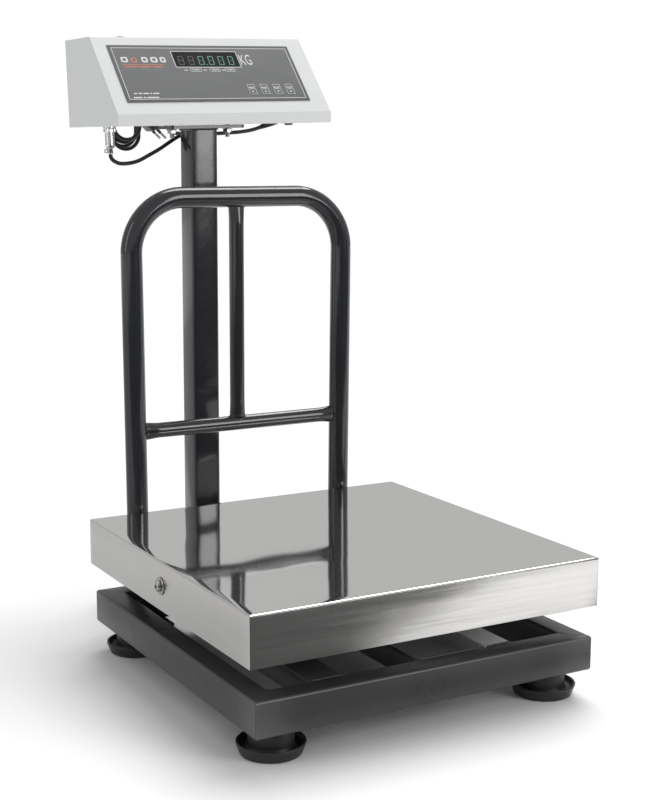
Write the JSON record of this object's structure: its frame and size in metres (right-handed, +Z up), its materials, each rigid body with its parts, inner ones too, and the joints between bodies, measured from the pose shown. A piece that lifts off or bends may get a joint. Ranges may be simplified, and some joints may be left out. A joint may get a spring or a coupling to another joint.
{
  "type": "animal weighing scale",
  "caption": "Electronic platform scale for animals: steel pan on a load cell frame with levelling feet, rear guard rail, column and sloping digital indicator.",
  "frame": {"origin": "on the floor, under the centre of the box round the scale without its loose mains lead", "axes": "+Z up, -Y towards the user at the pan's front, +X to the user's right"},
  "size_m": [0.4114, 0.652, 0.6954],
  "materials": {
    "black_paint": "gloss black enamel, slightly orange-peeled",
    "grey_paint": "dark grey satin paint",
    "white_powder": "off-white fine powder coat",
    "stainless": "polished stainless sheet with a faint grain",
    "pale_metal": "bare steel, satin",
    "zinc": "bright zinc plate",
    "chrome": "bright plate",
    "aluminium": "machined and clear anodised",
    "black_rubber": "matt moulded rubber",
    "black_plastic": "satin moulded plastic",
    "cord_plastic": "soft vinyl jacket, satin",
    "grey_film": "printed polyester film",
    "smoked_window": "smoked acrylic",
    "circuit_board": "solder-masked laminate",
    "copper_winding": "lacquered winding and core"
  },
  "bodies": {
    "base": {"base_front_tube": "grey_paint", "base_rear_tube": "grey_paint", "base_left_tube": "grey_paint", "base_right_tube": "grey_paint", "base_left_rail": "grey_paint", "base_centre_rail": "grey_paint", "load_cell_plate": "grey_paint", "base_right_rail": "pale_metal", "load_cell": "aluminium", "cell_base_bolt": "zinc", "mount_bolt_left": "zinc", "mount_bolt_right": "zinc", "cover_screw_left": "zinc", "cover_screw_right": "zinc", "rear_bracket": "black_paint", "column": "black_paint", "column_top_plate": "black_paint", "guard_loop": "black_paint", "guard_crossbar": "black_paint", "guard_upright": "black_paint", "column_grommet": "black_rubber", "mains_boot": "black_rubber", "indicator_housing": "white_powder", "indicator_cover": "white_powder", "front_overlay": "grey_film", "display_window": "smoked_window", "display_board": "circuit_board", "main_board": "circuit_board", "transformer": "copper_winding", "signal_socket": "chrome", "signal_plug": "chrome", "tie_base": "black_plastic", "hank_tie": "black_plastic", "mains_plug": "black_plastic", "signal_cable": "cord_plastic", "mains_cord": "cord_plastic", "mains_hank": "cord_plastic"},
    "platform": {"weighing_pan": "stainless", "subframe_left_tube": "grey_paint", "subframe_right_tube": "grey_paint", "subframe_front_cross": "grey_paint", "subframe_rear_cross": "grey_paint", "subframe_beam": "grey_paint", "cell_spacer": "zinc", "cell_top_bolt": "zinc", "pan_screw_left": "zinc", "pan_screw_right": "zinc"},
    "foot_stem_front_left": {"foot_stud_front_left": "zinc"},
    "foot_front_left": {"foot_pad_front_left": "black_rubber"},
    "foot_stem_front_right": {"foot_stud_front_right": "zinc"},
    "foot_front_right": {"foot_pad_front_right": "black_rubber"},
    "foot_stem_rear_left": {"foot_stud_rear_left": "zinc"},
    "foot_rear_left": {"foot_pad_rear_left": "black_rubber"},
    "foot_stem_rear_right": {"foot_stud_rear_right": "zinc"},
    "foot_rear_right": {"foot_pad_rear_right": "black_rubber"},
    "mode_button": {"key_mode": "grey_film"},
    "tare_button": {"key_tare": "grey_film"},
    "zero_button": {"key_zero": "grey_film"},
    "power_button": {"key_power": "grey_film"},
    "connector_nut": {"coupling_ring": "chrome"}
  },
  "joints": [
    {"name": "platform_deflection", "type": "slide", "parent": "base", "child": "platform", "axis": [0, 0, -1], "range_m": [0, 0.0006], "stiffness_N_per_m": 600000, "springref_m": -0.00016, "deforming": ["load_cell"]},
    {"name": "foot_travel_front_left", "type": "slide", "parent": "base", "child": "foot_stem_front_left", "axis": [0, 0, -1], "range_m": [0, 0.01]},
    {"name": "foot_turn_front_left", "type": "hinge", "parent": "foot_stem_front_left", "child": "foot_front_left", "pos_m": [-0.16, -0.2705, 0.01], "axis": [0, 0, 1], "range_deg": [0, 2881]},
    {"name": "foot_travel_front_right", "type": "slide", "parent": "base", "child": "foot_stem_front_right", "axis": [0, 0, -1], "range_m": [0, 0.01]},
    {"name": "foot_turn_front_right", "type": "hinge", "parent": "foot_stem_front_right", "child": "foot_front_right", "pos_m": [0.16, -0.2705, 0.01], "axis": [0, 0, 1], "range_deg": [0, 2881]},
    {"name": "foot_travel_rear_left", "type": "slide", "parent": "base", "child": "foot_stem_rear_left", "axis": [0, 0, -1], "range_m": [0, 0.01]},
    {"name": "foot_turn_rear_left", "type": "hinge", "parent": "foot_stem_rear_left", "child": "foot_rear_left", "pos_m": [-0.16, 0.0575, 0.01], "axis": [0, 0, 1], "range_deg": [0, 2881]},
    {"name": "foot_travel_rear_right", "type": "slide", "parent": "base", "child": "foot_stem_rear_right", "axis": [0, 0, -1], "range_m": [0, 0.01]},
    {"name": "foot_turn_rear_right", "type": "hinge", "parent": "foot_stem_rear_right", "child": "foot_rear_right", "pos_m": [0.16, 0.0575, 0.01], "axis": [0, 0, 1], "range_deg": [0, 2881]},
    {"name": "mode_press", "type": "slide", "parent": "base", "child": "mode_button", "axis": [0.0192, 0.7533, -0.6573], "range_m": [0, 0.0004], "stiffness_N_per_m": 2000, "springref_m": -0.0004},
    {"name": "tare_press", "type": "slide", "parent": "base", "child": "tare_button", "axis": [0.0192, 0.7533, -0.6573], "range_m": [0, 0.0004], "stiffness_N_per_m": 2000, "springref_m": -0.0004},
    {"name": "zero_press", "type": "slide", "parent": "base", "child": "zero_button", "axis": [0.0192, 0.7533, -0.6573], "range_m": [0, 0.0004], "stiffness_N_per_m": 2000, "springref_m": -0.0004},
    {"name": "power_press", "type": "slide", "parent": "base", "child": "power_button", "axis": [0.0192, 0.7533, -0.6573], "range_m": [0, 0.0004], "stiffness_N_per_m": 2000, "springref_m": -0.0004},
    {"name": "connector_nut_turn", "type": "hinge", "parent": "base", "child": "connector_nut", "pos_m": [-0.11623, 0.2235, 0.57907], "axis": [-0.0291, 0, 0.9996], "range_deg": [0, 360]}
  ],
  "couplings": [
    {"joint": "foot_turn_front_left", "follows": "foot_travel_front_left", "rad_per_m": 5026.5},
    {"joint": "foot_turn_front_right", "follows": "foot_travel_front_right", "rad_per_m": 5026.5},
    {"joint": "foot_turn_rear_left", "follows": "foot_travel_rear_left", "rad_per_m": 5026.5},
    {"joint": "foot_turn_rear_right", "follows": "foot_travel_rear_right", "rad_per_m": 5026.5}
  ]
}
